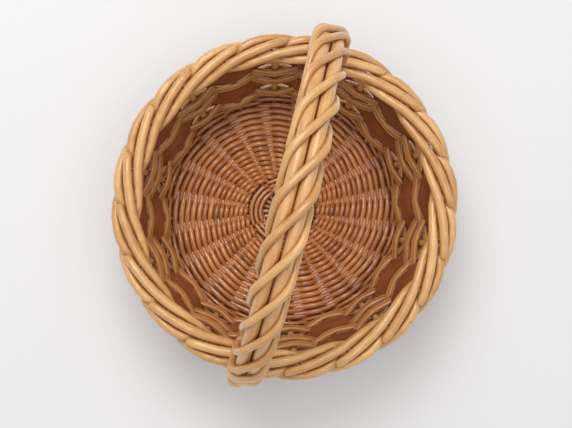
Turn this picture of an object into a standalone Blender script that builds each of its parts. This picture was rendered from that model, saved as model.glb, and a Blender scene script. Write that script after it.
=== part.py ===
# Round willow market basket with a fixed bow handle, built as a basket maker builds it:
# crossed base sticks, base weavers, stakes that end as the border, wall weavers, and a handle of
# four core rods with four rods wound round them.
#
# Frame: +Z up, origin on the floor under the middle of the basket, handle bow in the YZ plane.
# Lengths below are millimetres and angles are degrees. SCALE turns them into metres.

import math

import bmesh
import bpy
from mathutils import Vector

SCALE = 0.001
GAP = 0.3

# Ring of stakes: the wall is a cone, described by the centre line of the stakes.
STAKE_COUNT = 20
STAKE_STEP = 360.0 / STAKE_COUNT
STAKE_RADIUS = 2.3
WALL_FOOT_RADIUS = 82.0
WALL_FOOT_Z = 8.0
WALL_HEAD_RADIUS = 98.7
WALL_HEAD_Z = 67.0
STAKE_TURN_Z = 69.0

# Base: sticks crossed five over five, with woven bands over and under their spokes.
STICK_RADIUS = 1.4
STICK_PITCH = 3.1
STICK_TURN = -2.9
BASE_MID_Z = 4.6
BASE_DOME = 3.0
BASE_FLAT_RADIUS = 67.2
SLATH_LIFT = STICK_RADIUS + GAP / 2.0
BINDING_INNER = 13.2
BINDING_OUTER = 22.7
BINDING_THICKNESS = 1.6
BASE_BAND_COUNT = 5
BASE_BAND_FIRST = 23.4
BASE_BAND_PITCH = 10.95
BASE_BAND_WIDTH = 10.2
BASE_BAND_THICKNESS = 2.2
BASE_BAND_LIFT = BASE_MID_Z - BASE_BAND_THICKNESS / 2.0
STAKE_FOOT_RADIUS = 71.5

# Wall weavers, from the base up: name, height, profile and the stakes that they pass inside.
FIRST_ROW_Z = 9.6
ROW_GAP = 0.35
ROD_ROW_DEPTH = 3.0
ROD_ROW_SWING = 4.2
STRIP_DEPTH = 1.2
STRIP_SWING = 3.6
WALL_ROWS = (
    ("upset_row_1", 5.7, "rods", "even"),
    ("upset_row_2", 5.7, "rods", "odd"),
    ("splint_strip_lower", 12.5, "strip", "even"),
    ("twin_row_1", 5.7, "rods", "odd"),
    ("twin_row_2", 5.7, "rods", "even"),
    ("twin_row_3", 5.7, "rods", "odd"),
    ("splint_strip_upper", 12.5, "strip", "even"),
    ("top_row", 2.4, "rods", "odd"),
)

# Border: how one stake runs on after the wall, as degrees clockwise from its outermost bend,
# distance from the basket's axis, and height. It rises, lies along the outer edge, dives under
# the hooks of its neighbours to the inner edge, and climbs back over them to tuck in its tip.
BORDER_RADIUS = 2.75
STAKE_LEAD = 9.8
BORDER_ROUTE = (
    (-8.4, 100.6, 72.4),
    (-6.4, 102.1, 76.1),
    (-3.9, 104.6, 78.3),
    (-0.3, 106.6, 78.8),
    (4.0, 107.7, 77.9),
    (8.7, 108.0, 75.5),
    (12.9, 107.7, 73.0),
    (17.1, 105.9, 71.4),
    (20.9, 101.3, 71.7),
    (24.8, 96.5, 74.0),
    (29.9, 94.1, 77.1),
    (34.9, 94.0, 79.4),
    (40.0, 95.1, 80.9),
    (45.0, 96.9, 82.0),
    (50.1, 98.6, 82.5),
    (55.0, 100.5, 82.5),
    (59.9, 102.5, 81.9),
    (63.7, 104.2, 80.6),
)

# Handle: a half circle on two short straight legs, four core rods in a square bundle.
BOW_RADIUS = 102.0
BOW_CENTRE_Z = 96.0
CORE_RADIUS = 4.2
CORE_LEG_RADIUS = 2.5
CORE_TIP_RADIUS = 2.2
CORE_STEP = 7.5
SPLIT_TOP_Z = 104.0
SPLIT_END_Z = 84.0
INNER_LEG_RADIUS = 88.5
OUTER_LEG_RADIUS = 113.6
BORDER_FOOT_Z = 71.0
LEG_CLEARANCE = 8.9
CORE_TIP_Z = 30.0
WRAP_COUNT = 4
WRAP_RADIUS = 2.2
WRAP_LEG_RADIUS = 2.0
WRAP_GAP = 0.8
WRAP_TURN = 54.0
WRAP_PHASE = 7.7
WRAP_STEP = 3.2
WRAP_HELIX_END_Z = 97.0
WRAP_TIP_Z = 56.0

BUFF = (0.72, 0.47, 0.21)
HONEY = (0.64, 0.39, 0.16)
TAN = (0.42, 0.19, 0.075)
RUSSET = (0.29, 0.10, 0.035)
PALE = (0.75, 0.52, 0.25)


def clear_scene():
    for thing in list(bpy.data.objects):
        bpy.data.objects.remove(thing, do_unlink=True)


def make_material(name, colour, roughness):
    material = bpy.data.materials.new(name)
    material.use_nodes = True
    shader = material.node_tree.nodes["Principled BSDF"]
    shader.inputs["Base Color"].default_value = (*colour, 1.0)
    shader.inputs["Roughness"].default_value = roughness
    shader.inputs["Metallic"].default_value = 0.0
    return material


def polar(radius, angle, z):
    turn = math.radians(angle)
    return Vector((radius * math.cos(turn), radius * math.sin(turn), z))


def blend(low, high, share):
    return low + (high - low) * share


def smooth_share(value, start, end):
    share = min(1.0, max(0.0, (value - start) / (end - start)))
    return share * share * (3.0 - 2.0 * share)


def stake_line(z):
    slope = (WALL_HEAD_RADIUS - WALL_FOOT_RADIUS) / (WALL_HEAD_Z - WALL_FOOT_Z)
    return WALL_FOOT_RADIUS + slope * (z - WALL_FOOT_Z)


def add_rod(name, points, radii, material):
    curve = bpy.data.curves.new(name, "CURVE")
    curve.dimensions = "3D"
    curve.bevel_depth = SCALE
    curve.bevel_resolution = 1
    curve.use_fill_caps = True
    curve.render_resolution_u = 0
    spline = curve.splines.new("POLY")
    spline.points.add(len(points) - 1)
    for place, point, radius in zip(spline.points, points, radii):
        place.co = (*(point * SCALE), 1.0)
        place.radius = radius
    curve.materials.append(material)
    rod = bpy.data.objects.new(name, curve)
    bpy.context.scene.collection.objects.link(rod)
    return rod


def add_band(name, sections, material):
    """Closed band through a loop of four-cornered sections."""
    mesh = bpy.data.meshes.new(name)
    shape = bmesh.new()
    loops = [[shape.verts.new(corner * SCALE) for corner in section] for section in sections]
    for here, after in zip(loops, loops[1:] + loops[:1]):
        for side in range(4):
            across = (side + 1) % 4
            shape.faces.new((here[side], here[across], after[across], after[side]))
    bmesh.ops.recalc_face_normals(shape, faces=shape.faces)
    shape.to_mesh(mesh)
    shape.free()
    mesh.shade_smooth()
    mesh.set_sharp_from_angle(angle=math.radians(50.0))
    mesh.materials.append(material)
    band = bpy.data.objects.new(name, mesh)
    bpy.context.scene.collection.objects.link(band)
    return band


# Base

def base_rise(radius):
    flat_share = min(radius, BASE_FLAT_RADIUS) / BASE_FLAT_RADIUS
    return BASE_DOME * (1.0 - flat_share * flat_share)


def band_inner(index):
    return BASE_BAND_FIRST + BASE_BAND_PITCH * index


def base_stick_half(place, upper):
    """One half of a stick, from the slath out to its tip, running along +X before it fans."""
    spread = abs(place) * STAKE_STEP
    side = STICK_PITCH * place
    fan_start = abs(side) / math.tan(math.radians(spread)) if place else BINDING_INNER * 0.7
    lift = SLATH_LIFT if upper else -SLATH_LIFT
    centre_z = BASE_MID_Z + base_rise(BINDING_INNER)
    points = [Vector((fan_start, side, centre_z + lift))]
    points.append(polar(BINDING_INNER, STAKE_STEP * place, centre_z + lift))
    stops = [band_inner(index) - GAP for index in range(1, BASE_BAND_COUNT)]
    for radius in [BINDING_OUTER] + stops + [band_inner(BASE_BAND_COUNT) - GAP]:
        points.append(polar(radius, STAKE_STEP * place, BASE_MID_Z + base_rise(radius)))
    return points


def turn_about_z(points, angle):
    share = math.radians(angle)
    cos, sin = math.cos(share), math.sin(share)
    return [Vector((p.x * cos - p.y * sin, p.x * sin + p.y * cos, p.z)) for p in points]


def add_base_sticks(material):
    number = 1
    for arm_turn, upper in ((0.0, False), (90.0, True)):
        for place in range(-2, 3):
            near = base_stick_half(place, upper)
            far = [Vector((-p.x, p.y, p.z)) for p in reversed(near)]
            points = turn_about_z(far + near, arm_turn + STICK_TURN)
            radii = [STICK_RADIUS] * len(points)
            add_rod(f"base_stick_{number:02d}", points, radii, material)
            number += 1


def base_section(inner, outer, angle_in, angle_out, z_in, z_out, thickness):
    half = thickness / 2.0
    return (
        polar(inner, angle_in, z_in - half),
        polar(outer, angle_out, z_out - half),
        polar(outer, angle_out, z_out + half),
        polar(inner, angle_in, z_in + half),
    )


def half_angle(width, radius):
    return math.degrees(math.asin(width / radius))


def add_base_binding(material):
    """First weaver: over the lower arms of the slath and under the upper ones, arm by arm."""
    reach = STICK_RADIUS + GAP + 0.05
    arm_in = 2.0 * STAKE_STEP + half_angle(reach, BINDING_INNER)
    arm_out = 2.0 * STAKE_STEP + half_angle(reach, BINDING_OUTER)
    offset = STICK_RADIUS + GAP + BINDING_THICKNESS / 2.0
    stops = (-1.0, -0.67, -0.33, 0.0, 0.33, 0.67, 1.0)
    sections = []
    for arm in range(4):
        centre = 90.0 * arm + STICK_TURN
        side = 1.0 if arm % 2 == 0 else -1.0
        z_in = BASE_MID_Z + base_rise(BINDING_INNER) + side * (offset - SLATH_LIFT)
        z_out = BASE_MID_Z + base_rise(BINDING_OUTER) + side * offset
        for stop in stops:
            angles = (centre + stop * arm_in, centre + stop * arm_out)
            sections.append(base_section(BINDING_INNER, BINDING_OUTER, *angles, z_in, z_out, BINDING_THICKNESS))
    add_band("base_binding", sections, material)


def add_base_bands(material):
    for index in range(BASE_BAND_COUNT):
        inner = band_inner(index)
        outer = inner + BASE_BAND_WIDTH
        outermost = index == BASE_BAND_COUNT - 1
        sections = []
        for spoke in range(STAKE_COUNT):
            centre = STAKE_STEP * spoke
            side = 1.0 if (spoke + index) % 2 == 0 else -1.0
            z_in = BASE_MID_Z + base_rise(inner) + side * BASE_BAND_LIFT
            z_out = BASE_MID_Z + base_rise(outer) + side * BASE_BAND_LIFT
            for edge in (-1.0, 1.0):
                if outermost and edge > 0.0:
                    turn, width = 0.0, STAKE_RADIUS + 2.0 * GAP
                else:
                    turn, width = STICK_TURN, STICK_RADIUS + 2.0 * GAP
                angle_in = centre + turn + edge * half_angle(width, inner)
                angle_out = centre + turn + edge * half_angle(width, outer)
                sections.append(base_section(inner, outer, angle_in, angle_out, z_in, z_out, BASE_BAND_THICKNESS))
        add_band(f"base_band_{index + 1}", sections, material)


# Stakes and border

def stake_points(angle):
    """From the foot beside its base stick, up the wall and round the border to the tip."""
    rows = [
        (STAKE_FOOT_RADIUS, angle, BASE_MID_Z, 1.3),
        (WALL_FOOT_RADIUS - 4.6, angle, BASE_MID_Z, 2.0),
        (WALL_FOOT_RADIUS - 1.5, angle, BASE_MID_Z + 1.1, STAKE_RADIUS),
        (WALL_FOOT_RADIUS, angle, WALL_FOOT_Z, STAKE_RADIUS),
        (stake_line(STAKE_TURN_Z), angle, STAKE_TURN_Z, STAKE_RADIUS),
    ]
    for turn, radius, z in BORDER_ROUTE:
        rows.append((radius, angle - STAKE_LEAD - turn, z, BORDER_RADIUS))
    points = [polar(radius, turn, z) for radius, turn, z, _ in rows]
    radii = [row[3] for row in rows]
    radii[-1] = BORDER_RADIUS * 0.85
    return points, radii


def add_stakes(material):
    for index in range(STAKE_COUNT):
        points, radii = stake_points(90.0 + STAKE_STEP * index)
        add_rod(f"stake_{index + 1:02d}", points, radii, material)


# Wall weavers

def add_wall_rows(materials):
    """Each weaver swings outside one stake and inside the next, all the way round."""
    low = FIRST_ROW_Z
    for name, height, profile, inside in WALL_ROWS:
        is_strip = profile == "strip"
        depth = STRIP_DEPTH if is_strip else ROD_ROW_DEPTH
        swing = STRIP_SWING if is_strip else ROD_ROW_SWING
        side = -1.0 if inside == "even" else 1.0
        stops = (-6.0, 0.0, 6.0) if is_strip else (-3.0, 3.0)
        peak = 1.0 if is_strip else math.cos(math.radians(30.0))
        sections = []
        for index in range(STAKE_COUNT):
            for stop in stops:
                angle = 90.0 + STAKE_STEP * index + stop
                wave = math.cos(math.radians((angle - 90.0) * STAKE_COUNT / 2.0)) / peak
                middle = side * swing * wave
                near = middle - depth / 2.0
                far = middle + depth / 2.0
                sections.append((
                    polar(stake_line(low) + near, angle, low),
                    polar(stake_line(low) + far, angle, low),
                    polar(stake_line(low + height) + far, angle, low + height),
                    polar(stake_line(low + height) + near, angle, low + height),
                ))
        add_band(name, sections, materials[profile])
        low += height + ROW_GAP


# Handle

def bow_height(distance):
    """Height of the bow's centre line at a signed distance from the top of the bow."""
    quarter = BOW_RADIUS * math.pi / 2.0
    if abs(distance) <= quarter:
        return BOW_CENTRE_Z + BOW_RADIUS * math.cos(distance / BOW_RADIUS)
    return BOW_CENTRE_Z - (abs(distance) - quarter)


def bow_frame(distance):
    """Centre line point and outward direction at a signed distance from the top of the bow."""
    quarter = BOW_RADIUS * math.pi / 2.0
    turn = max(-quarter, min(quarter, distance)) / BOW_RADIUS
    outward = Vector((0.0, math.sin(turn), math.cos(turn)))
    centre = Vector((0.0, 0.0, BOW_CENTRE_Z)) + outward * BOW_RADIUS
    centre.z -= max(0.0, abs(distance) - quarter)
    return centre, outward


def bundle_shape(z):
    """Half width, half depth, depth shift and rod radius of the core bundle at height z."""
    share = smooth_share(-z, -SPLIT_TOP_Z, -SPLIT_END_Z)
    radius = blend(CORE_RADIUS, CORE_LEG_RADIUS, share)
    side = radius + GAP / 2.0
    split = (OUTER_LEG_RADIUS - INNER_LEG_RADIUS) / 2.0
    shift = (OUTER_LEG_RADIUS + INNER_LEG_RADIUS) / 2.0 - BOW_RADIUS
    return side, blend(side, split, share), shift * share, radius


def leg_radius(z, outer):
    """How far from the axis a leg stands beside the border and the wall."""
    at_border = OUTER_LEG_RADIUS if outer else INNER_LEG_RADIUS
    if z >= BORDER_FOOT_Z:
        return at_border
    return stake_line(z) + (LEG_CLEARANCE if outer else -LEG_CLEARANCE)


def distance_at_height(z):
    quarter = BOW_RADIUS * math.pi / 2.0
    if z <= BOW_CENTRE_Z:
        return quarter + BOW_CENTRE_Z - z
    return quarter - BOW_RADIUS * math.asin((z - BOW_CENTRE_Z) / BOW_RADIUS)


def bow_point(distance, across, out):
    centre, outward = bow_frame(distance)
    shift = bundle_shape(centre.z)[2]
    return centre + Vector((across, 0.0, 0.0)) + outward * (out + shift)


def add_handle_core(material):
    leg_heights = (97.0, 93.0, 89.0, 86.0, SPLIT_END_Z)
    foot_heights = (BORDER_FOOT_Z, BORDER_FOOT_Z - 12.0, CORE_TIP_Z)
    steps = int(90.0 / CORE_STEP) - 1
    arc = [math.radians(CORE_STEP * step) * BOW_RADIUS for step in range(-steps, steps + 1)]
    legs = [distance_at_height(z) for z in leg_heights]
    distances = [-d for d in reversed(legs)] + arc + legs
    number = 1
    for side in (-1.0, 1.0):
        for outer in (False, True):
            rows = []
            for distance in distances:
                half_width, half_depth, _, radius = bundle_shape(bow_height(distance))
                out = half_depth if outer else -half_depth
                rows.append((bow_point(distance, side * half_width, out), radius))
            for z in foot_heights:
                radius = CORE_TIP_RADIUS if z == CORE_TIP_Z else CORE_LEG_RADIUS
                across = side * (CORE_LEG_RADIUS + GAP / 2.0)
                away = leg_radius(z, outer)
                rows.append((Vector((across, away, z)), radius))
                rows.insert(0, (Vector((across, -away, z)), radius))
            points = [row[0] for row in rows]
            radii = [row[1] for row in rows]
            add_rod(f"handle_core_{number}", points, radii, material)
            number += 1


def wrap_offset(angle, z, rod_radius):
    """Where a wrap lies round the bundle: a rounded square that widens as the bundle splits."""
    half_width, half_depth, _, radius = bundle_shape(z)
    cos, sin = math.cos(math.radians(angle)), math.sin(math.radians(angle))
    reach = radius + rod_radius + WRAP_GAP
    across = half_width * max(-1.0, min(1.0, 2.2 * cos)) + reach * cos
    out = half_depth * max(-1.0, min(1.0, 2.2 * sin)) + reach * sin
    return across, out


def wrap_angle(number, distance):
    turn = math.degrees(distance / BOW_RADIUS)
    return 90.0 + 360.0 / WRAP_COUNT * number - (turn + WRAP_PHASE) * 360.0 / WRAP_TURN


def wrap_leg(number, end):
    """A wrap leaves its helix, swings beside the nearest core leg and runs down along it."""
    start = distance_at_height(WRAP_HELIX_END_Z) * end
    angle = wrap_angle(number, start)
    side = 1.0 if math.cos(math.radians(angle)) >= 0.0 else -1.0
    outer = math.sin(math.radians(angle)) >= 0.0
    rows = []
    for z in (94.5, 92.0, 89.5, 87.0, SPLIT_END_Z):
        share = smooth_share(-z, -WRAP_HELIX_END_Z, -SPLIT_END_Z)
        half_width, half_depth, _, radius = bundle_shape(z)
        corner = (side * half_width, half_depth if outer else -half_depth)
        across, out = wrap_offset(angle, z, WRAP_RADIUS)
        swing = math.atan2(out - corner[1], across - corner[0])
        reach = math.hypot(out - corner[1], across - corner[0])
        target = 0.0 if side > 0.0 else math.copysign(math.pi, swing)
        swing = blend(swing, target, share)
        reach = blend(reach, radius + WRAP_LEG_RADIUS + GAP, share)
        place = (corner[0] + reach * math.cos(swing), corner[1] + reach * math.sin(swing))
        rows.append((bow_point(distance_at_height(z) * end, *place), blend(WRAP_RADIUS, WRAP_LEG_RADIUS, share)))
    across = side * (2.0 * CORE_LEG_RADIUS + WRAP_LEG_RADIUS + 1.5 * GAP)
    for z in (BORDER_FOOT_Z, WRAP_TIP_Z):
        rows.append((Vector((across, end * leg_radius(z, outer), z)), WRAP_LEG_RADIUS))
    return rows


def add_handle_wraps(material):
    reach = distance_at_height(WRAP_HELIX_END_Z)
    count = int(2.0 * reach / BOW_RADIUS / math.radians(WRAP_STEP)) + 1
    distances = [reach * (2.0 * step / count - 1.0) for step in range(count + 1)]
    for number in range(WRAP_COUNT):
        rows = []
        for distance in distances:
            z = bow_height(distance)
            place = wrap_offset(wrap_angle(number, distance), z, WRAP_RADIUS)
            rows.append((bow_point(distance, *place), WRAP_RADIUS))
        rows = wrap_leg(number, -1.0)[::-1] + rows + wrap_leg(number, 1.0)
        points = [row[0] for row in rows]
        radii = [row[1] for row in rows]
        add_rod(f"handle_wrap_{number + 1}", points, radii, material)


def main():
    clear_scene()
    stake_willow = make_material("stake_willow", BUFF, 0.38)
    row_willow = make_material("row_willow", HONEY, 0.42)
    base_willow = make_material("base_willow", TAN, 0.45)
    splint = make_material("splint", RUSSET, 0.5)
    handle_willow = make_material("handle_willow", PALE, 0.35)
    add_base_sticks(base_willow)
    add_base_binding(base_willow)
    add_base_bands(base_willow)
    add_stakes(stake_willow)
    add_wall_rows({"rods": row_willow, "strip": splint})
    add_handle_core(handle_willow)
    add_handle_wraps(handle_willow)


main()
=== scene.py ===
# Looks for the willow market basket. Every rod, splint and weaver is its own round or flat piece
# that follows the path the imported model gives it. Sizes are millimetres, and mm makes them metres.
# The basket stands on the floor and the camera looks down into its mouth.

import math

import bpy
import numpy as np
from mathutils import Matrix, Vector
from mathutils.bvhtree import BVHTree


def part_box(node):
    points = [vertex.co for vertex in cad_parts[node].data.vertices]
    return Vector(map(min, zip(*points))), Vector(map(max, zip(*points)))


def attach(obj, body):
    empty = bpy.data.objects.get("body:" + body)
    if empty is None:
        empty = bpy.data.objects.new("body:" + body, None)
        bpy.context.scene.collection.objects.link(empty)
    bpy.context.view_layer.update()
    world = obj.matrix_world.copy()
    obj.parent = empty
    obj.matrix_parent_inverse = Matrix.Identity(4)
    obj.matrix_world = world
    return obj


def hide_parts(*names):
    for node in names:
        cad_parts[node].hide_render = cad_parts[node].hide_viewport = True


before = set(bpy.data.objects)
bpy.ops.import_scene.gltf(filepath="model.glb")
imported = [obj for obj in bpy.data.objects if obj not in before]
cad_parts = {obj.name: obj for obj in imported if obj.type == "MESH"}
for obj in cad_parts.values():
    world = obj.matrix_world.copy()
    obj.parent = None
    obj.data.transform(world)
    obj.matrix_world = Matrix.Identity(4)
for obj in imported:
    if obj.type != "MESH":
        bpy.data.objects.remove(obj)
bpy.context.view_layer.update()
scene = bpy.context.scene
mm = 0.001


def rowSpan(node):
    low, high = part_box(node)
    return low.z / mm, high.z / mm


def readWallLine(swing, thickness):
    # both splints pass outside the stake that stands on the X axis, so their boxes give the slope
    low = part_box("splint_strip_lower")[1] / mm
    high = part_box("splint_strip_upper")[1] / mm
    slope = (high.x - low.x) / (high.z - low.z)
    return low.x - swing - thickness / 2.0 - slope * low.z, slope


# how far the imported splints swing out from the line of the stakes, and how thick they are
packedSplint = {"swing": 3.6, "thickness": 1.2}
wallStart, wallSlope = readWallLine(packedSplint["swing"], packedSplint["thickness"])
print("frame read: wall slope", round(wallSlope, 3), "foot", round(wallStart, 2))


def wallRadius(z):
    return wallStart + wallSlope * z


def polar(radius, angle, z):
    turn = math.radians(angle)
    return Vector((radius * math.cos(turn), radius * math.sin(turn), z))


def mix(low, high, share):
    return low + (high - low) * share


def easeShare(value, start, end):
    share = min(1.0, max(0.0, (value - start) / (end - start)))
    return share * share * (3.0 - 2.0 * share)


# helpers for node trees

def plug(tree, source, target):
    if isinstance(source, bpy.types.NodeSocket):
        tree.links.new(source, target)
    else:
        target.default_value = source


def addNode(tree, kind, settings=None, **values):
    node = tree.nodes.new(kind)
    node.location.x = 180.0 * len(tree.nodes)
    for key, value in (settings or {}).items():
        setattr(node, key, value)
    for key, value in values.items():
        plug(tree, value, node.inputs[key.replace("_", " ")])
    return node


def calc(tree, operation, *values):
    node = addNode(tree, "ShaderNodeMath", {"operation": operation})
    for value, target in zip(values, node.inputs):
        plug(tree, value, target)
    return node.outputs[0]


def vectorCalc(tree, operation, *values):
    node = addNode(tree, "ShaderNodeVectorMath", {"operation": operation})
    targets = [node.inputs[0], node.inputs["Scale"]] if operation == "SCALE" else node.inputs
    for value, target in zip(values, targets):
        plug(tree, value, target)
    return node.outputs[0]


def total(tree, *values):
    result = values[0]
    for value in values[1:]:
        result = calc(tree, "ADD", result, value)
    return result


def startTree(name, kind, inputs, outputs):
    tree = bpy.data.node_groups.new(name, kind)
    for label, socket in inputs:
        tree.interface.new_socket(name=label, in_out="INPUT", socket_type="NodeSocket" + socket)
    for label, socket in outputs:
        tree.interface.new_socket(name=label, in_out="OUTPUT", socket_type="NodeSocket" + socket)
    return tree, addNode(tree, "NodeGroupInput").outputs


def endTree(tree, **results):
    addNode(tree, "NodeGroupOutput", None, **results)
    return tree


# Geometry Nodes

def readAttribute(tree, name, kind="FLOAT"):
    return addNode(tree, "GeometryNodeInputNamedAttribute", {"data_type": kind}, Name=name).outputs[0]


def keepAttribute(tree, geometry, name, value, kind="FLOAT"):
    node = addNode(tree, "GeometryNodeStoreNamedAttribute", {"data_type": kind}, Geometry=geometry, Name=name,
                   Value=value)
    return node.outputs[0]


def herePosition(tree):
    return addNode(tree, "GeometryNodeInputPosition").outputs[0]


def roundProfile(tree, sides):
    circle = addNode(tree, "GeometryNodeCurvePrimitiveCircle", {"mode": "RADIUS"},
                     Resolution=sides, Radius=1.0)
    return keepAttribute(tree, circle.outputs[0], "profilePlace", herePosition(tree), "FLOAT_VECTOR")


def flatProfile(tree, thickness, height):
    outline = addNode(tree, "GeometryNodeCurvePrimitiveQuadrilateral", {"mode": "RECTANGLE"}, Width=thickness,
                      Height=height)
    softer = addNode(tree, "GeometryNodeResampleCurve", {"mode": "COUNT"}, Curve=outline.outputs[0], Count=26)
    place = vectorCalc(tree, "SCALE", herePosition(tree), 330.0)
    return keepAttribute(tree, softer.outputs[0], "profilePlace", place, "FLOAT_VECTOR")


def centredNoise(tree, place, seed, scale):
    noise = addNode(tree, "ShaderNodeTexNoise", {"noise_dimensions": "4D"}, Vector=place, W=seed, Scale=scale,
                    Detail=1.0)
    return vectorCalc(tree, "SUBTRACT", noise.outputs["Color"], (0.5, 0.5, 0.5))


def finishRods(tree, body, material):
    # coordinates that run with the rod, the finish, and one plain mesh
    place = vectorCalc(tree, "SCALE", readAttribute(tree, "profilePlace", "FLOAT_VECTOR"), 0.003)
    shifted = calc(tree, "MULTIPLY_ADD", readAttribute(tree, "rodTone"), 3.0, readAttribute(tree, "alongRod"))
    along = addNode(tree, "ShaderNodeCombineXYZ", None, Z=shifted).outputs[0]
    body = keepAttribute(tree, body, "rodSpace", vectorCalc(tree, "ADD", place, along), "FLOAT_VECTOR")
    smooth = addNode(tree, "GeometryNodeSetShadeSmooth", None, Geometry=body).outputs[0]
    whole = addNode(tree, "GeometryNodeRealizeInstances", None, Geometry=smooth).outputs[0]
    done = addNode(tree, "GeometryNodeSetMaterial", None, Geometry=whole, Material=material).outputs[0]
    return endTree(tree, Geometry=done)


def makeRodTree():
    # a round rod along each drawn chain of points
    tree, given = startTree("willowRods", "GeometryNodeTree", [
        ("Geometry", "Geometry"), ("Point Spacing", "Float"), ("Sides", "Int"), ("Wander", "Float"),
        ("Swell", "Float"), ("Seed", "Float"), ("Material", "Material")], [("Geometry", "Geometry")])
    curve = addNode(tree, "GeometryNodeMeshToCurve", None, Mesh=given["Geometry"]).outputs[0]
    curve = addNode(tree, "GeometryNodeCurveSplineType", {"spline_type": "CATMULL_ROM"},
                    Curve=curve).outputs[0]
    curve = addNode(tree, "GeometryNodeResampleCurve", {"mode": "LENGTH"}, Curve=curve,
                    Length=given["Point Spacing"]).outputs[0]
    drift = centredNoise(tree, herePosition(tree), given["Seed"], 20.0)
    drift = vectorCalc(tree, "SCALE", drift, given["Wander"])
    curve = addNode(tree, "GeometryNodeSetPosition", None, Geometry=curve, Offset=drift).outputs[0]
    run = addNode(tree, "GeometryNodeSplineParameter").outputs["Length"]
    curve = keepAttribute(tree, curve, "alongRod", run)
    lumps = centredNoise(tree, herePosition(tree), calc(tree, "ADD", given["Seed"], 3.7), 55.0)
    lump = addNode(tree, "ShaderNodeSeparateXYZ", None, Vector=lumps).outputs[0]
    thickness = calc(tree, "MULTIPLY_ADD", lump, given["Swell"], 1.0)
    radius = calc(tree, "MULTIPLY", thickness, readAttribute(tree, "rodRadius"))
    profile = roundProfile(tree, given["Sides"])
    body = addNode(tree, "GeometryNodeCurveToMesh", None, Curve=curve, Profile_Curve=profile,
                   Scale=radius, Fill_Caps=True).outputs[0]
    return finishRods(tree, body, given["Material"])


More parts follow.
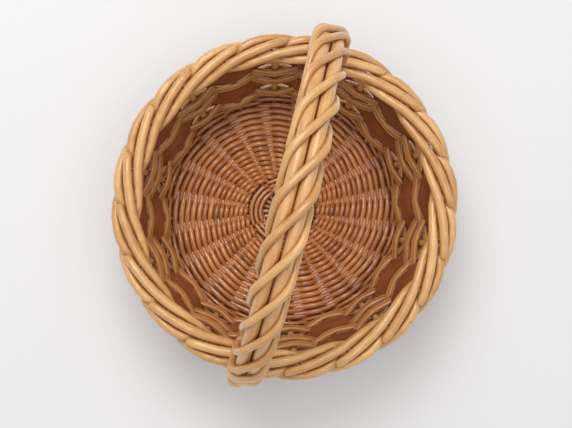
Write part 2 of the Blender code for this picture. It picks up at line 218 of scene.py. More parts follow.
def makeRingTree():
    # weavers that swing out and in, or over and under, round a ring of spokes
    tree, given = startTree("wovenRings", "GeometryNodeTree", [
        ("Rings", "Float"), ("Strands", "Float"), ("First Radius", "Float"), ("Radius Step", "Float"),
        ("First Height", "Float"), ("Height Step", "Float"), ("Swing Out", "Float"), ("Swing Up", "Float"),
        ("Swing Step", "Float"), ("Twist Out", "Float"), ("Cycles", "Float"), ("Zero Angle", "Float"),
        ("Ring Phase", "Float"), ("Peak", "Float"), ("Dome Height", "Float"), ("Dome Radius", "Float"),
        ("Rod Radius", "Float"), ("Strip Height", "Float"), ("Lean", "Float"), ("Points", "Int"),
        ("Sides", "Int"), ("Wander", "Float"), ("Seed", "Float"), ("Material", "Material")],
        [("Geometry", "Geometry")])
    circle = addNode(tree, "GeometryNodeCurvePrimitiveCircle", {"mode": "RADIUS"},
                     Resolution=given["Points"], Radius=1.0)
    count = calc(tree, "MULTIPLY", given["Rings"], given["Strands"])
    copies = addNode(tree, "GeometryNodeDuplicateElements", {"domain": "SPLINE"}, Geometry=circle.outputs[0],
                     Amount=count)
    curve = keepAttribute(tree, copies.outputs[0], "rodNumber", copies.outputs["Duplicate Index"])
    number = readAttribute(tree, "rodNumber")
    ring = calc(tree, "FLOOR", calc(tree, "DIVIDE", calc(tree, "ADD", number, 0.01), given["Strands"]))
    strand = calc(tree, "SUBTRACT", number, calc(tree, "MULTIPLY", ring, given["Strands"]))

    # the seam of every ring lies under the handle
    factor = addNode(tree, "GeometryNodeSplineParameter").outputs["Factor"]
    angle = calc(tree, "MULTIPLY_ADD", factor, 2.0 * math.pi, math.pi / 2.0)
    cosine, sine = calc(tree, "COSINE", angle), calc(tree, "SINE", angle)
    phase = calc(tree, "MULTIPLY", calc(tree, "SUBTRACT", angle, given["Zero Angle"]), given["Cycles"])
    phase = calc(tree, "MULTIPLY_ADD", strand, math.pi, phase)
    phase = calc(tree, "MULTIPLY_ADD", ring, given["Ring Phase"], phase)
    wave, twist = calc(tree, "COSINE", phase), calc(tree, "SINE", phase)

    # a Peak over one bends the weaver sharply at what it crosses, under one squares its bends off
    bend = calc(tree, "POWER", calc(tree, "ABSOLUTE", wave), given["Peak"])
    wave = calc(tree, "MULTIPLY", calc(tree, "SIGN", wave), bend)

    apart = calc(tree, "MULTIPLY", number, 0.83)
    spot = addNode(tree, "ShaderNodeCombineXYZ", None, X=cosine, Y=sine, Z=apart).outputs[0]
    drift = vectorCalc(tree, "SCALE", centredNoise(tree, spot, given["Seed"], 4.0), given["Wander"])
    drift = addNode(tree, "ShaderNodeSeparateXYZ", None, Vector=drift).outputs
    swingUp = calc(tree, "MULTIPLY_ADD", ring, given["Swing Step"], given["Swing Up"])
    radius = total(tree, given["First Radius"], calc(tree, "MULTIPLY", ring, given["Radius Step"]),
                   calc(tree, "MULTIPLY", wave, given["Swing Out"]),
                   calc(tree, "MULTIPLY", twist, given["Twist Out"]), drift[0])
    share = calc(tree, "MINIMUM", calc(tree, "DIVIDE", radius, given["Dome Radius"]), 1.0)
    fall = calc(tree, "SUBTRACT", 1.0, calc(tree, "MULTIPLY", share, share))
    height = total(tree, given["First Height"], calc(tree, "MULTIPLY", ring, given["Height Step"]),
                   calc(tree, "MULTIPLY", wave, swingUp), calc(tree, "MULTIPLY", fall, given["Dome Height"]),
                   drift[1])
    place = addNode(tree, "ShaderNodeCombineXYZ", None, X=calc(tree, "MULTIPLY", radius, cosine),
                    Y=calc(tree, "MULTIPLY", radius, sine), Z=height).outputs[0]
    curve = addNode(tree, "GeometryNodeSetPosition", None, Geometry=curve, Position=place).outputs[0]

    # the run goes up to half way round and back down, so nothing jumps at the seam
    halfTurn = calc(tree, "ABSOLUTE", calc(tree, "SUBTRACT", factor, 0.5))
    run = calc(tree, "MULTIPLY", halfTurn, calc(tree, "MULTIPLY", given["First Radius"], 2.0 * math.pi))
    curve = keepAttribute(tree, curve, "alongRod", run)
    chance = addNode(tree, "FunctionNodeRandomValue", {"data_type": "FLOAT"}, ID=number, Seed=given["Seed"])
    curve = keepAttribute(tree, curve, "rodTone", chance.outputs["Value"])
    curve = addNode(tree, "GeometryNodeSetCurveNormal", {"mode": "Z_UP"}, Curve=curve).outputs[0]
    curve = addNode(tree, "GeometryNodeSetCurveTilt", None, Curve=curve, Tilt=given["Lean"]).outputs[0]
    isStrip = calc(tree, "GREATER_THAN", given["Strip Height"], 0.0)
    flat = flatProfile(tree, calc(tree, "MULTIPLY", given["Rod Radius"], 2.0), given["Strip Height"])
    profile = addNode(tree, "GeometryNodeSwitch", {"input_type": "GEOMETRY"}, Switch=isStrip)
    plug(tree, roundProfile(tree, given["Sides"]), profile.inputs["False"])
    plug(tree, flat, profile.inputs["True"])
    roundSize = calc(tree, "MULTIPLY", given["Rod Radius"], calc(tree, "SUBTRACT", 1.0, isStrip))
    body = addNode(tree, "GeometryNodeCurveToMesh", None, Curve=curve, Profile_Curve=profile.outputs[0],
                   Scale=calc(tree, "ADD", isStrip, roundSize)).outputs[0]
    return finishRods(tree, body, given["Material"])


def keepAsMesh(name, source, tree, values):
    # runs a tree once and keeps the result as a plain mesh at the origin
    modifier = source.modifiers.new("grow", "NODES")
    modifier.node_group = tree
    for item in tree.interface.items_tree:
        if item.in_out == "INPUT" and item.name in values:
            value = values[item.name]
            modifier[item.identifier] = float(value) if item.socket_type == "NodeSocketFloat" else value
    bpy.context.view_layer.update()
    grown = source.evaluated_get(bpy.context.evaluated_depsgraph_get())
    mesh = bpy.data.meshes.new_from_object(grown)
    bpy.data.objects.remove(source)
    mesh.name = name
    mesh.set_sharp_from_angle(angle=math.radians(55.0))
    piece = bpy.data.objects.new(name, mesh)
    scene.collection.objects.link(piece)
    return piece


def growRings(name, values):
    source = bpy.data.objects.new(name + ".start", bpy.data.meshes.new(name + ".start"))
    scene.collection.objects.link(source)
    scaled = {"Dome Radius": 1.0, "Strands": 1.0, "Peak": 1.0, "Cycles": 10.0, "Points": 360, "Sides": 12}
    for key, value in values.items():
        scaled[key] = value * mm if key in lengthInputs else value
    return keepAsMesh(name, source, ringTree, scaled)


lengthInputs = ("First Radius", "Radius Step", "First Height", "Height Step", "Swing Out", "Swing Up",
                "Swing Step", "Twist Out", "Dome Height", "Dome Radius", "Rod Radius", "Strip Height",
                "Wander", "Point Spacing")


def fillIn(chain, gap):
    # long straight runs get points in between, so the curve through them can't overshoot
    filled = []
    for (here, thin), (after, thick) in zip(chain, chain[1:]):
        steps = max(1, round((after - here).length / gap))
        for step in range(steps):
            share = step / steps
            filled.append((here.lerp(after, share), mix(thin, thick, share)))
    return filled + [chain[-1]]


def growRods(name, chains, values):
    # chains holds one list of (point, radius) and a tone for every rod
    mesh = bpy.data.meshes.new(name + ".path")
    points, edges, radii, tones = [], [], [], []
    for chain, tone in chains:
        chain = fillIn(chain, 4.0)
        first = len(points)
        points += [point * mm for point, _ in chain]
        radii += [radius * mm for _, radius in chain]
        tones += [tone] * len(chain)
        edges += [(first + step, first + step + 1) for step in range(len(chain) - 1)]
    mesh.from_pydata(points, edges, [])
    mesh.attributes.new("rodRadius", "FLOAT", "POINT").data.foreach_set("value", radii)
    mesh.attributes.new("rodTone", "FLOAT", "POINT").data.foreach_set("value", tones)
    source = bpy.data.objects.new(name + ".path", mesh)
    scene.collection.objects.link(source)
    scaled = {"Point Spacing": 1.5 * mm, "Sides": 14}
    for key, value in values.items():
        scaled[key] = value * mm if key in lengthInputs else value
    return keepAsMesh(name, source, rodTree, scaled)


rodTree = makeRodTree()
ringTree = makeRingTree()
pieces = []
print("geometry trees made")


def settle(piece, slot, *nodes):
    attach(piece, "root")
    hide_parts(*nodes)
    pieces.append(piece)


# Finishes

def makeGrainGroup():
    # streaks that run along the rod, and slow stains that cross them
    tree, given = startTree("willowGrain", "ShaderNodeTree", [
        ("Space", "Vector"), ("Stretch", "Float"), ("Fineness", "Float")],
        [("Streak", "Float"), ("Stain", "Float")])
    shrink = calc(tree, "DIVIDE", 1.0, given["Stretch"])
    squeeze = addNode(tree, "ShaderNodeCombineXYZ", None, X=1.0, Y=1.0, Z=shrink).outputs[0]
    stretched = vectorCalc(tree, "MULTIPLY", given["Space"], squeeze)
    streak = addNode(tree, "ShaderNodeTexNoise", None, Vector=stretched, Scale=given["Fineness"], Detail=3.0)
    stain = addNode(tree, "ShaderNodeTexNoise", None, Vector=given["Space"], Scale=75.0, Detail=2.0)
    clear = addNode(tree, "ShaderNodeMapRange", None, Value=streak.outputs[0], From_Min=0.3, From_Max=0.7)
    soft = addNode(tree, "ShaderNodeMapRange", None, Value=stain.outputs[0], From_Min=0.32, From_Max=0.68)
    return endTree(tree, Streak=clear.outputs[0], Stain=soft.outputs[0])


def makeKnotGroup():
    # small dark buds and specks, few and far apart
    tree, given = startTree("willowKnots", "ShaderNodeTree", [
        ("Space", "Vector"), ("Spacing", "Float"), ("Size", "Float")], [("Mask", "Float")])
    cells = addNode(tree, "ShaderNodeTexVoronoi", None, Vector=given["Space"], Scale=given["Spacing"])
    inner = calc(tree, "MULTIPLY", given["Size"], 0.4)
    spot = addNode(tree, "ShaderNodeMapRange", {"interpolation_type": "SMOOTHSTEP"},
                   Value=cells.outputs["Distance"], From_Min=given["Size"], From_Max=inner)
    chance = addNode(tree, "ShaderNodeSeparateColor", None, Color=cells.outputs["Color"]).outputs[0]
    kept = calc(tree, "GREATER_THAN", chance, 0.55)
    return endTree(tree, Mask=calc(tree, "MULTIPLY", spot.outputs[0], kept))


def mixColor(tree, share, low, high):
    # a Mix node keeps its colour sockets at places 6 and 7, and the mixed colour comes out at place 2
    node = addNode(tree, "ShaderNodeMix", {"data_type": "RGBA"})
    plug(tree, share, node.inputs[0])
    plug(tree, low, node.inputs[6])
    plug(tree, high, node.inputs[7])
    return node.outputs[2]


def makeColourGroup():
    # pale and deep willow mixed by the streaks, with painted shade in the crevices and dark colour on the
    # knots
    tree, given = startTree("willowColour", "ShaderNodeTree", [
        ("Light", "Color"), ("Deep", "Color"), ("Crevice Color", "Color"), ("Streak", "Float"),
        ("Stain", "Float"), ("Tone", "Float"), ("Tone Range", "Float"), ("Knots", "Float"),
        ("Crevice", "Float")], [("Color", "Color")])
    blendShare = total(tree, calc(tree, "MULTIPLY", given["Streak"], 0.55),
                       calc(tree, "MULTIPLY", given["Stain"], 0.35))
    toneShift = calc(tree, "MULTIPLY", calc(tree, "SUBTRACT", given["Tone"], 0.5), given["Tone Range"])
    share = calc(tree, "ADD", blendShare, calc(tree, "ADD", toneShift, 0.05))
    share = addNode(tree, "ShaderNodeClamp", None, Value=share).outputs[0]
    body = mixColor(tree, share, given["Deep"], given["Light"])
    # painted shade: a darker colour mixed in where rods meet in the crevices
    shaded = mixColor(tree, given["Crevice"], body, given["Crevice Color"])
    knotColor = (0.12, 0.04, 0.012, 1.0)
    knotted = mixColor(tree, calc(tree, "MULTIPLY", given["Knots"], 0.75), shaded, knotColor)
    return endTree(tree, Color=knotted)


def makeVarnishGroup():
    # a brushed coat: thick and glossy in patches, thin and duller in others
    tree, given = startTree("clearVarnish", "ShaderNodeTree", [
        ("Space", "Vector"), ("Glossy", "Float"), ("Dull", "Float"), ("Streak", "Float"),
        ("Relief", "Float")], [("Roughness", "Float"), ("Normal", "Vector")])
    patch = addNode(tree, "ShaderNodeTexNoise", None, Vector=given["Space"], Scale=160.0, Detail=2.0)
    rough = addNode(tree, "ShaderNodeMapRange", None, Value=patch.outputs[0], From_Min=0.3, From_Max=0.7,
                    To_Min=given["Glossy"], To_Max=given["Dull"])
    drops = addNode(tree, "ShaderNodeTexNoise", None, Vector=given["Space"], Scale=520.0, Detail=1.0)
    height = calc(tree, "MULTIPLY_ADD", given["Streak"], 0.5, drops.outputs[0])
    bump = addNode(tree, "ShaderNodeBump", None, Height=height, Strength=given["Relief"], Distance=0.0006)
    return endTree(tree, Roughness=rough.outputs[0], Normal=bump.outputs[0])


grainGroup = makeGrainGroup()
knotGroup = makeKnotGroup()
colourGroup = makeColourGroup()
varnishGroup = makeVarnishGroup()


def useGroup(tree, group, **values):
    return addNode(tree, "ShaderNodeGroup", {"node_tree": group}, **values).outputs


def makeFinish(name, look):
    material = bpy.data.materials.new(name)
    material.use_nodes = True
    tree = material.node_tree
    shader = tree.nodes["Principled BSDF"]
    space = addNode(tree, "ShaderNodeAttribute", {"attribute_name": "rodSpace"}).outputs["Vector"]
    tone = addNode(tree, "ShaderNodeAttribute", {"attribute_name": "rodTone"}).outputs["Fac"]
    # the mark of painted shade where rods meet
    creviceShade = addNode(tree, "ShaderNodeAttribute", {"attribute_name": "creviceShade"}).outputs["Fac"]
    grain = useGroup(tree, grainGroup, Space=space, Stretch=look["stretch"], Fineness=look["fineness"])
    knots = useGroup(tree, knotGroup, Space=space, Spacing=look["knotSpacing"], Size=look["knotSize"])
    colour = useGroup(tree, colourGroup, Light=(*look["light"], 1.0), Deep=(*look["deep"], 1.0),
                      Crevice_Color=(*look["creviceShadeColor"], 1.0), Streak=grain["Streak"],
                      Stain=grain["Stain"], Tone=tone, Tone_Range=look["toneRange"],
                      Knots=knots["Mask"], Crevice=creviceShade)
    coat = useGroup(tree, varnishGroup, Space=space, Glossy=look["glossy"], Dull=look["dull"],
                    Streak=grain["Streak"], Relief=look["relief"])
    plug(tree, colour["Color"], shader.inputs["Base Color"])
    plug(tree, coat["Roughness"], shader.inputs["Roughness"])
    plug(tree, coat["Normal"], shader.inputs["Normal"])
    shader.inputs["Coat Weight"].default_value = look["coat"]
    shader.inputs["Coat Roughness"].default_value = look["coatRoughness"]
    shader.inputs["Specular IOR Level"].default_value = look["specular"]
    return material


buffWillow = {
    "light": (0.85, 0.50, 0.20),
    "deep": (0.58, 0.27, 0.078),
    # darker colour painted into the crevices as shade where rods meet
    "creviceShadeColor": (0.36, 0.115, 0.022),
    "stretch": 9.0,
    "fineness": 900.0,
    "knotSpacing": 60.0,
    "knotSize": 0.05,
    "toneRange": 0.55,
    "glossy": 0.22,
    "dull": 0.45,
    "relief": 0.4,
    "coat": 0.6,
    "coatRoughness": 0.14,
    "specular": 0.45,
}
paleWillow = dict(buffWillow, light=(0.79, 0.455, 0.185), deep=(0.58, 0.275, 0.085),
                  creviceShadeColor=(0.42, 0.15, 0.035))
honeyWillow = dict(buffWillow, light=(0.76, 0.355, 0.10), deep=(0.47, 0.172, 0.036),
                   creviceShadeColor=(0.17, 0.05, 0.014))
tanWillow = dict(buffWillow, light=(0.74, 0.285, 0.083), deep=(0.36, 0.108, 0.025),
                 creviceShadeColor=(0.10, 0.025, 0.008),
                 toneRange=0.7, glossy=0.18, coat=0.9)
russetSplint = dict(buffWillow, light=(0.50, 0.158, 0.045), deep=(0.23, 0.058, 0.014),
                    creviceShadeColor=(0.08, 0.024, 0.010),
                    stretch=14.0, fineness=700.0, coat=0.15, dull=0.6, glossy=0.4)

finishes = {
    "stake_willow": makeFinish("stake_willow", buffWillow),
    "row_willow": makeFinish("row_willow", honeyWillow),
    "base_willow": makeFinish("base_willow", tanWillow),
    "splint": makeFinish("splint", russetSplint),
    "handle_core_willow": makeFinish("handle_core_willow", paleWillow),
    "handle_wrap_willow": makeFinish("handle_wrap_willow", paleWillow),
}
print("finishes made")


# Base: ten sticks crossed five over five, then rows of paired weavers

base = {
    "midZ": 4.6,
    "dome": 3.0,
    "domeRadius": 67.2,
    "stickRadius": 1.4,
    "stickPitch": 3.1,
    "stickTurn": -2.9,
    "slathLift": 1.55,
    "spread": 18.0,  # degrees between two spokes
    "bindInner": 13.2,
    "bindOuter": 22.7,
    "bindRod": 1.55,
    "bindRadius": 14.7,
    "bindStep": 3.2,
    "bindSwing": 1.6,
    "bindSwingStep": 0.6,
    "bindTwist": 0.6,
    "bindPeak": 0.6,
    "bindWander": 0.3,
    "bindPoints": 240,
    "stickReach": (34.0, 45.0, 56.0, 67.0, 77.8),  # points along a stick outside the binding
    "halfThickness": 4.3,
    "rowStart": 25.2,
    "rowPitch": (3.3, 3.6, 3.9, 4.1, 4.3),  # the weavers get thicker towards the rim of the base
    "rodShare": 0.535,  # radius of a weaver against the pitch of its row
    "rowTwist": 0.9,
    "peak": 2.1,
    "wander": 0.95,
    "footRadius": 79.0,  # the last two pairs of weavers lock the feet of the stakes
    "footStep": 3.2,
    "footRise": 1.6,
    "footSwing": 3.0,
    "footRod": 1.7,
}


def baseRise(radius):
    share = min(radius, base["domeRadius"]) / base["domeRadius"]
    return base["dome"] * (1.0 - share * share)


def stickPath(place, upper):
    # half a stick from the middle of the crossing to its tip, along +X before it is turned
    side = base["stickPitch"] * place
    lift = base["slathLift"] if upper else -base["slathLift"]
    middle = base["midZ"] + baseRise(base["bindInner"]) + lift
    fanStart = abs(side) / math.tan(math.radians(abs(place) * base["spread"])) if place else 9.0
    path = [Vector((0.0, side, middle)), Vector((fanStart, side, middle))]
    path.append(polar(base["bindInner"], base["spread"] * place, middle))
    for radius in (base["bindOuter"], *base["stickReach"]):
        path.append(polar(radius, base["spread"] * place, base["midZ"] + baseRise(radius)))
    return path


def makeBaseSticks():
    number = 0
    for armTurn, upper in ((0.0, False), (90.0, True)):
        turn = Matrix.Rotation(math.radians(armTurn + base["stickTurn"]), 4, "Z")
        for place in range(-2, 3):
            half = stickPath(place, upper)
            path = [Vector((-p.x, p.y, p.z)) for p in half[:0:-1]] + half
            chain = [(turn @ point, base["stickRadius"]) for point in path]
            number += 1
            node = f"base_stick_{number:02d}"
            piece = growRods("baseStick" + f"{number:02d}", [(chain, number * 0.37 % 1.0)], {
                "Wander": 0.0, "Swell": 0.12, "Seed": number * 1.9, "Material": finishes["base_willow"]})
            settle(piece, "base_willow", node)


def makeBaseRows():
    zero = math.radians(base["stickTurn"])
    binding = growRings("baseBinding", {
        "Rings": 3.0, "Strands": 2.0, "First Radius": base["bindRadius"], "Radius Step": base["bindStep"],
        "First Height": base["midZ"], "Swing Up": base["bindSwing"], "Swing Step": base["bindSwingStep"],
        "Twist Out": base["bindTwist"], "Cycles": 2.0, "Zero Angle": zero, "Peak": base["bindPeak"],
        "Dome Height": base["dome"], "Dome Radius": base["domeRadius"], "Rod Radius": base["bindRod"],
        "Points": base["bindPoints"], "Wander": base["bindWander"], "Seed": 2.0,
        "Material": finishes["base_willow"]})
    settle(binding, "base_willow", "base_binding")
    radius = base["rowStart"]
    for band, pitch in enumerate(base["rowPitch"]):
        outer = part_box(f"base_band_{band + 1}")[1].x / mm
        rings = round((outer - radius) / pitch + 0.5)
        rodRadius = base["rodShare"] * pitch
        piece = growRings(f"baseRows{band + 1}", {
            "Rings": rings, "Strands": 2.0, "First Radius": radius, "Radius Step": pitch,
            "First Height": base["midZ"], "Swing Up": base["halfThickness"] - rodRadius,
            "Twist Out": base["rowTwist"], "Zero Angle": zero, "Peak": base["peak"],
            "Dome Height": base["dome"], "Dome Radius": base["domeRadius"], "Rod Radius": rodRadius,
            "Wander": base["wander"], "Seed": 11.0 + band, "Material": finishes["base_willow"]})
        settle(piece, "base_willow", f"base_band_{band + 1}")
        radius += rings * pitch
        print("base band", band + 1, "rings", rings, "next radius", round(radius, 1))
    foot = growRings("footWeavers", {
        "Rings": 2.0, "Strands": 2.0, "First Radius": base["footRadius"], "Radius Step": base["footStep"],
        "First Height": base["midZ"] + 0.5, "Height Step": base["footRise"], "Swing Up": base["footSwing"],
        "Twist Out": base["rowTwist"], "Rod Radius": base["footRod"], "Wander": base["wander"],
        "Seed": 17.0, "Material": finishes["base_willow"]})
    settle(foot, "base_willow", "base_band_5")


makeBaseSticks()
makeBaseRows()
print("base made")


# Wall: stakes that end as the border, two splints and six rod rows

wall = {
    "stakes": 20,
    "stakeRadius": 2.3,
    "tipReach": 71.5,  # a stake starts between the outer base weavers, pointed
    "tipRadius": 1.3,
    "bendRadius": 2.0,
    "footZ": 8.0,
    "bendIn": 4.6,  # the stake turns up over this run, inside the line of the wall
    "riseIn": 1.5,
    "riseZ": 1.1,
    "borderRadius": 2.95,
    "turnZ": 69.0,
    "lead": 9.8,  # degrees from the stake to the outermost bend
    "rodRadius": 1.68,
    "rodPitch": 2.85,
    "rowSwing": 3.7,
    "stripSwing": 3.3,
    "stripThickness": 1.2,
    "stripPeak": 0.85,
    "stripWander": 0.3,
    "stripSpare": 5.2,  # a splint is a little wider than the room that its row gives it
    "wander": 0.7,
}

# the way one stake runs on as the border: degrees past its outermost bend, radius and height
borderRoute = (
    (-8.4, 100.6, 72.4), (-6.4, 102.1, 76.1), (-3.9, 104.6, 78.3), (-0.3, 106.6, 78.8), (4.0, 107.7, 77.9),
    (8.7, 108.0, 75.5), (12.9, 107.7, 73.0), (17.1, 105.9, 71.4), (20.9, 101.3, 71.7), (24.8, 96.5, 74.0),
    (29.9, 94.1, 77.1), (34.9, 94.0, 79.4), (40.0, 95.1, 80.9), (45.0, 96.9, 82.0), (50.1, 98.6, 82.5),
    (55.0, 100.5, 82.5), (59.9, 102.5, 81.9), (63.7, 104.2, 80.6), (66.2, 105.4, 78.6))


def stakeChain(angle):
    thick = wall["stakeRadius"]
    foot = wallRadius(wall["footZ"])
    chain = [
        (polar(wall["tipReach"], angle, base["midZ"]), wall["tipRadius"]),
        (polar(foot - wall["bendIn"], angle, base["midZ"]), wall["bendRadius"]),
        (polar(foot - wall["riseIn"], angle, base["midZ"] + wall["riseZ"]), thick),
        (polar(foot, angle, wall["footZ"]), thick),
        (polar(wallRadius(wall["turnZ"]), angle, wall["turnZ"]), thick),
    ]
    chain += [(polar(r, angle - wall["lead"] - turn, z), wall["borderRadius"]) for turn, r, z in borderRoute]
    chain[-1] = (chain[-1][0], 0.8 * wall["borderRadius"])
    return chain


def makeStakes():
    for index in range(wall["stakes"]):
        chain = stakeChain(90.0 + 360.0 / wall["stakes"] * index)
        piece = growRods(f"stake{index + 1:02d}", [(chain, index * 0.61 % 1.0)], {
            "Wander": 0.5, "Swell": 0.14, "Seed": index * 2.3, "Material": finishes["stake_willow"]})
        settle(piece, "stake_willow", f"stake_{index + 1:02d}")


def makeWallRows():
    lean = math.atan(wallSlope)
    rows = (("upset_row_1", -1.0), ("upset_row_2", 1.0), ("splint_strip_lower", -1.0), ("twin_row_1", 1.0),
            ("twin_row_2", -1.0), ("twin_row_3", 1.0), ("splint_strip_upper", -1.0), ("top_row", 1.0))
    for number, (node, side) in enumerate(rows):
        low, high = rowSpan(node)
        height = high - low
        shared = {"Zero Angle": math.pi / 2.0, "Wander": wall["wander"], "Seed": 40.0 + number}
        if "splint" in node:
            middle = (low + high) / 2.0
            piece = growRings(node.replace("_", "."), dict(shared, **{
                "Rings": 1.0, "First Radius": wallRadius(middle), "First Height": middle,
                "Swing Out": side * wall["stripSwing"], "Rod Radius": wall["stripThickness"] / 2.0,
                "Strip Height": height / math.cos(lean) + wall["stripSpare"], "Lean": lean,
                "Peak": wall["stripPeak"], "Wander": wall["stripWander"],
                "Material": finishes["splint"]}))
            settle(piece, "splint", node)
        else:
            rods = max(1, round(height / wall["rodPitch"]))
            step = height / rods
            first = low + step / 2.0
            piece = growRings(node.replace("_", "."), dict(shared, **{
                "Rings": rods, "First Radius": wallRadius(first), "Radius Step": wallSlope * step,
                "First Height": first, "Height Step": step, "Swing Out": side * wall["rowSwing"],
                "Rod Radius": wall["rodRadius"], "Material": finishes["row_willow"]}))
            settle(piece, "row_willow", node)


makeStakes()
makeWallRows()
print("wall and border made")


# Handle: four core rods in a square bundle, with four rods wound round them

bow = {
    "radius": 102.0,
    "centreZ": 96.0,
    "core": 3.9,
    "leg": 2.5,
    "tip": 2.2,
    "splitTop": 104.0,
    "splitEnd": 84.0,
    "innerLeg": 88.5,
    "outerLeg": 113.6,
    "borderFoot": 71.0,
    "clearance": 8.9,
    "wraps": 4,
    "wrap": 2.35,
    "wrapLeg": 2.0,
    "wrapGap": -0.9,  # the wraps are pulled tight into the core rods
    "wrapTurn": 54.0,  # degrees of bow for one turn of a wrap
    "wrapPhase": 7.7,
    "helixEnd": 97.0,
    "gap": 0.3,
    "legZ": (97.0, 93.0, 89.0, 86.0),  # heights of points where the core parts into its four legs
    "wrapLegZ": (94.5, 92.0, 89.5, 87.0),
    "bendZ": 59.0,
    "coreTipZ": 30.0,
    "wrapTipZ": 56.0,
}
quarterBow = bow["radius"] * math.pi / 2.0


def bowHeight(distance):
    if abs(distance) <= quarterBow:
        return bow["centreZ"] + bow["radius"] * math.cos(distance / bow["radius"])
    return bow["centreZ"] - (abs(distance) - quarterBow)


def bowDistance(z):
    if z <= bow["centreZ"]:
        return quarterBow + bow["centreZ"] - z
    return quarterBow - bow["radius"] * math.asin((z - bow["centreZ"]) / bow["radius"])


def bundleShape(z):
    # half width, half depth, outward shift and rod radius of the bundle at one height
    share = easeShare(-z, -bow["splitTop"], -bow["splitEnd"])
    radius = mix(bow["core"], bow["leg"], share)
    side = radius + bow["gap"] / 2.0
    split = (bow["outerLeg"] - bow["innerLeg"]) / 2.0
    shift = (bow["outerLeg"] + bow["innerLeg"]) / 2.0 - bow["radius"]
    return side, mix(side, split, share), shift * share, radius


def bowPoint(distance, across, out):
    turn = max(-quarterBow, min(quarterBow, distance)) / bow["radius"]
    outward = Vector((0.0, math.sin(turn), math.cos(turn)))
    centre = Vector((0.0, 0.0, bow["centreZ"])) + outward * bow["radius"]
    centre.z -= max(0.0, abs(distance) - quarterBow)
    return centre + Vector((across, 0.0, 0.0)) + outward * (out + bundleShape(centre.z)[2])


def legRadius(z, outer):
    if z >= bow["borderFoot"]:
        return bow["outerLeg"] if outer else bow["innerLeg"]
    return wallRadius(z) + (bow["clearance"] if outer else -bow["clearance"])


def coreChain(side, outer):
    legs = [bowDistance(z) for z in (*bow["legZ"], bow["splitEnd"])]
    arc = [math.radians(3.0 * step) * bow["radius"] for step in range(-27, 28)]
    chain = []
    for distance in [-d for d in reversed(legs)] + arc + legs:
        halfWidth, halfDepth, _, radius = bundleShape(bowHeight(distance))
        chain.append((bowPoint(distance, side * halfWidth, halfDepth if outer else -halfDepth), radius))
    across = side * (bow["leg"] + bow["gap"] / 2.0)
    for z in (bow["borderFoot"], bow["bendZ"], bow["coreTipZ"]):
        radius = bow["tip"] if z == bow["coreTipZ"] else bow["leg"]
        chain.append((Vector((across, legRadius(z, outer), z)), radius))
        chain.insert(0, (Vector((across, -legRadius(z, outer), z)), radius))
    return chain


def wrapOffset(angle, z):
    # an even walk round a rounded square, so the wrap crosses the bundle at one slope
    halfWidth, halfDepth, _, radius = bundleShape(z)
    reach = radius + bow["wrap"] + bow["wrapGap"]
    corner = reach * math.pi / 2.0
    runs = ((1.0, 0.0, halfDepth), (0.0, 1.0, halfWidth), (-1.0, 0.0, halfDepth), (0.0, -1.0, halfWidth))
    left = (angle / 360.0 % 1.0) * (4.0 * (halfWidth + halfDepth) + 4.0 * corner)
    for quarter, (x, y, half) in enumerate(runs + runs[:1]):
        start = 0.0 if quarter == 0 else -half
        if left <= half - start:
            along = start + left
            return x * (halfWidth + reach) - y * along, y * (halfDepth + reach) + x * along
        left -= half - start
        if left <= corner:
            turn = math.radians(90.0 * quarter + 90.0 * left / corner)
            cornerX = halfWidth if x - y > 0.0 else -halfWidth
            cornerY = halfDepth if x + y > 0.0 else -halfDepth
            return cornerX + reach * math.cos(turn), cornerY + reach * math.sin(turn)
        left -= corner
    return halfWidth + reach, 0.0


def wrapAngle(number, distance):
    turn = math.degrees(distance / bow["radius"])
    return 90.0 + 360.0 / bow["wraps"] * number - (turn + bow["wrapPhase"]) * 360.0 / bow["wrapTurn"]


def wrapLeg(number, end):
    # the wrap leaves its winding, swings beside the nearest core leg and runs down along it
    angle = wrapAngle(number, bowDistance(bow["helixEnd"]) * end)
    side = 1.0 if math.cos(math.radians(angle)) >= 0.0 else -1.0
    outer = math.sin(math.radians(angle)) >= 0.0
    chain = []
    for z in (*bow["wrapLegZ"], bow["splitEnd"]):
        share = easeShare(-z, -bow["helixEnd"], -bow["splitEnd"])
        halfWidth, halfDepth, _, radius = bundleShape(z)
        cornerX, cornerY = side * halfWidth, halfDepth if outer else -halfDepth
        across, out = wrapOffset(angle, z)
        swing = math.atan2(out - cornerY, across - cornerX)
        reach = mix(math.hypot(out - cornerY, across - cornerX), radius + bow["wrapLeg"] + bow["gap"], share)
        swing = mix(swing, 0.0 if side > 0.0 else math.copysign(math.pi, swing), share)
        legAcross = cornerX + reach * math.cos(swing)
        legOut = cornerY + reach * math.sin(swing)
        place = bowPoint(bowDistance(z) * end, legAcross, legOut)
        chain.append((place, mix(bow["wrap"], bow["wrapLeg"], share)))
    across = side * (2.0 * bow["leg"] + bow["wrapLeg"] + 1.5 * bow["gap"])
    for z in (bow["borderFoot"], bow["wrapTipZ"]):
        chain.append((Vector((across, end * legRadius(z, outer), z)), bow["wrapLeg"]))
    return chain


def wrapChain(number):
    reach = bowDistance(bow["helixEnd"])
    chain = []
    for step in range(-60, 61):
        distance = reach * step / 60.0
        across, out = wrapOffset(wrapAngle(number, distance), bowHeight(distance))
        chain.append((bowPoint(distance, across, out), bow["wrap"]))
    return wrapLeg(number, -1.0)[::-1] + chain + wrapLeg(number, 1.0)


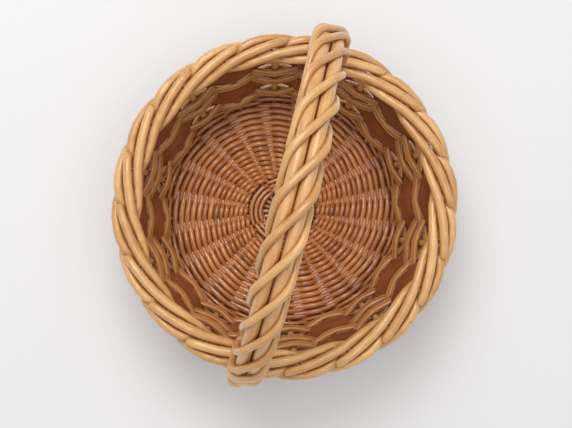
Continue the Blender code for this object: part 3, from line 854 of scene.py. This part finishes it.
def makeHandle():
    number = 0
    for side in (-1.0, 1.0):
        for outer in (False, True):
            number += 1
            piece = growRods(f"handleCore{number}", [(coreChain(side, outer), 0.3 + 0.15 * number)], {
                "Wander": 0.3, "Swell": 0.06, "Sides": 20, "Seed": 70.0 + number,
                "Material": finishes["handle_core_willow"]})
            settle(piece, "handle_core_willow", f"handle_core_{number}")
    for number in range(bow["wraps"]):
        piece = growRods(f"handleWrap{number + 1}", [(wrapChain(number), 0.2 + 0.3 * number)], {
            "Wander": 0.3, "Swell": 0.1, "Sides": 16, "Seed": 80.0 + number,
            "Material": finishes["handle_wrap_willow"]})
        settle(piece, "handle_wrap_willow", f"handle_wrap_{number + 1}")


makeHandle()
print("handle made")


def paintCreviceShade(reach):
    # painted shade where rods meet: marks every point that has another rod close in front of it, and the mark
    # darkens the colour there
    corners, faces = [], []
    for piece in pieces:
        first = len(corners)
        mesh = piece.data
        places = np.zeros(len(mesh.vertices) * 3, np.float32)
        mesh.vertices.foreach_get("co", places)
        corners += places.reshape(-1, 3).tolist()
        faces += [[first + corner for corner in face.vertices] for face in mesh.polygons]
    tree = BVHTree.FromPolygons(corners, faces)
    start = 0
    for piece in pieces:
        mesh = piece.data
        normals = np.zeros(len(mesh.vertices) * 3, np.float32)
        mesh.vertex_normals.foreach_get("vector", normals)
        normals = normals.reshape(-1, 3)
        values = np.zeros(len(mesh.vertices), np.float32)
        for index in range(len(mesh.vertices)):
            point = Vector(corners[start + index]) + Vector(normals[index]) * reach
            distance = tree.find_nearest(point, reach * 2.0)[3]
            values[index] = 0.0 if distance is None else max(0.0, 1.0 - distance / reach)
        mesh.attributes.new("creviceShade", "FLOAT", "POINT").data.foreach_set("value", values)
        start += len(mesh.vertices)


# how far the painted shade reaches from where rods meet, in millimetres
creviceShadeReach = 1.2
paintCreviceShade(creviceShadeReach * mm)
triangles = sum(len(piece.data.loop_triangles) or len(piece.data.polygons) * 2 for piece in pieces)
print("crevices stained,", len(pieces), "pieces,", triangles, "triangles or so")


# Studio

studio = {
    "lens": 69.0,
    "distance": 700.0,
    "rimZ": 76.0,
    "tilt": 3.7,
    "turn": 14.2,
    "lean": (-0.669, -0.743),
    "aimDrop": 5.1,
    "floorColor": (0.86, 0.86, 0.865),
    # where each softbox stands across, up the picture and above, its distance, size and power
    "key": ((-0.14, 0.50, 0.86), 1300.0, 650.0, 6.6),
    "overhead": ((0.0, 0.0, 1.0), 2000.0, 2200.0, 15.0),
    "worldStrength": 0.45,
}


def makeStudio():
    turn = math.radians(studio["turn"])
    right = Vector((math.cos(turn), math.sin(turn), 0.0))
    up = Vector((-math.sin(turn), math.cos(turn), 0.0))
    upright = Vector((0.0, 0.0, 1.0))
    rim = upright * studio["rimZ"]
    tilt = math.radians(studio["tilt"])
    lean = right * studio["lean"][0] + up * studio["lean"][1]
    place = rim + studio["distance"] * (math.cos(tilt) * upright + math.sin(tilt) * lean)
    look = (rim - up * studio["aimDrop"] - place).normalized()
    sideways = look.cross(up).normalized()
    axes = Matrix((sideways, sideways.cross(look), -look)).transposed().to_4x4()
    camera = bpy.data.objects.new("camera", bpy.data.cameras.new("camera"))
    camera.data.lens = studio["lens"]
    camera.data.clip_start = 0.01
    camera.matrix_world = Matrix.Translation(place * mm) @ axes
    scene.collection.objects.link(camera)
    scene.camera = camera

    floorMesh = bpy.data.meshes.new("floor")
    floorMesh.from_pydata([(-3, -3, 0), (3, -3, 0), (3, 3, 0), (-3, 3, 0)], [], [(0, 1, 2, 3)])
    floor = bpy.data.objects.new("floor", floorMesh)
    scene.collection.objects.link(floor)
    paper = bpy.data.materials.new("paper")
    paper.use_nodes = True
    paper.node_tree.nodes["Principled BSDF"].inputs["Base Color"].default_value = (*studio["floorColor"], 1.0)
    paper.node_tree.nodes["Principled BSDF"].inputs["Roughness"].default_value = 0.9
    floorMesh.materials.append(paper)

    for name in ("key", "overhead"):
        (x, y, z), distance, size, power = studio[name]
        softbox = bpy.data.objects.new(name, bpy.data.lights.new(name, "AREA"))
        direction = (right * x + up * y + upright * z).normalized()
        softbox.location = direction * distance * mm
        softbox.rotation_euler = direction.to_track_quat("Z", "Y").to_euler()
        softbox.data.size = size * mm
        softbox.data.energy = power
        scene.collection.objects.link(softbox)

    world = bpy.data.worlds.new("studio")
    world.use_nodes = True
    world.node_tree.nodes["Background"].inputs["Color"].default_value = (1.0, 1.0, 1.0, 1.0)
    world.node_tree.nodes["Background"].inputs["Strength"].default_value = studio["worldStrength"]
    scene.world = world
    scene.view_settings.view_transform = "Standard"


makeStudio()
print("studio made")
